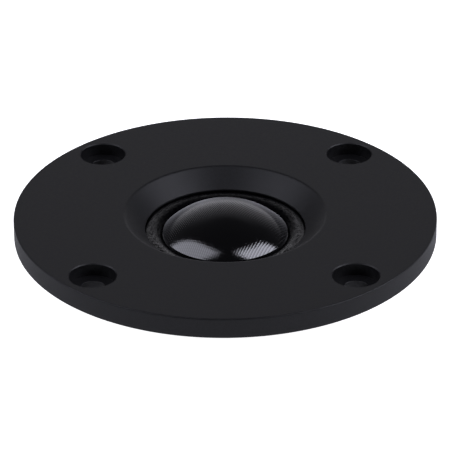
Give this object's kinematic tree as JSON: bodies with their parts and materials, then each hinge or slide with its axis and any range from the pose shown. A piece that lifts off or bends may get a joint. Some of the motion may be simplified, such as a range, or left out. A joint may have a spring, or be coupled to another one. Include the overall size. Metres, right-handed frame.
{
  "type": "car tweeter",
  "caption": "Flush-mount soft-dome tweeter: round black faceplate with counterbored screw holes, a short conical waveguide round a glossy woven dome, and a compact closed-back motor.",
  "frame": {"origin": "centre of the circle of mounting holes, on the flange's back face, where the tweeter meets a panel", "axes": "+Z along the dome's axis, out of the front; +Y towards the terminals; +X completes the right-handed frame"},
  "size_m": [0.094, 0.094, 0.0224],
  "materials": {
    "anodised_aluminium": "matte black anodised, fine bead-blasted grain",
    "foam": "closed-cell foam, matte",
    "coated_silk_roll": "woven silk, sealed with a tacky coating, soft sheen",
    "coated_silk_dome": "woven silk, sealed with a tacky coating, glossy",
    "glass_filled_nylon": "moulded, matte",
    "aluminium_foil": "thin bright foil",
    "copper_clad_wire": "enamelled wire, glossy",
    "tinsel": "flat braided tinsel",
    "zinc_plated_steel": "zinc plated, satin",
    "copper": "drawn copper, satin",
    "felt": "pressed wool felt",
    "nickel_plated_neodymium": "nickel plated, bright",
    "black_passivated_steel": "turned steel, black passivated",
    "moulded_abs": "moulded, fine spark texture",
    "tinned_brass": "stamped brass, satin",
    "solder": "solder, bright",
    "black_zinc_screw": "black zinc",
    "bright_steel_pin": "ground steel"
  },
  "bodies": {
    "motor": {"faceplate": "anodised_aluminium", "flange_gasket": "foam", "surround": "coated_silk_roll", "diaphragm_gasket": "foam", "diaphragm_ring": "glass_filled_nylon", "lead_positive": "tinsel", "lead_negative": "tinsel", "front_plate": "zinc_plated_steel", "inner_pole": "zinc_plated_steel", "shorting_cap": "copper", "pole_damper": "felt", "magnet": "nickel_plated_neodymium", "yoke_cup": "black_passivated_steel", "vent_plug": "felt", "rear_cap": "moulded_abs", "chamber_felt": "felt", "terminal_block": "glass_filled_nylon", "terminal_positive": "tinned_brass", "terminal_negative": "tinned_brass", "solder_joints": "solder", "motor_screws": "black_zinc_screw", "locating_pins": "bright_steel_pin"},
    "diaphragm": {"dome": "coated_silk_dome", "coil_former": "aluminium_foil", "coil_winding": "copper_clad_wire"}
  },
  "joints": [
    {"name": "diaphragm_travel", "type": "slide", "parent": "motor", "child": "diaphragm", "axis": [0, 0, 1], "range_m": [-0.0005, 0.0005], "stiffness_N_per_m": 5000, "deforming": ["surround", "lead_positive", "lead_negative"]}
  ]
}
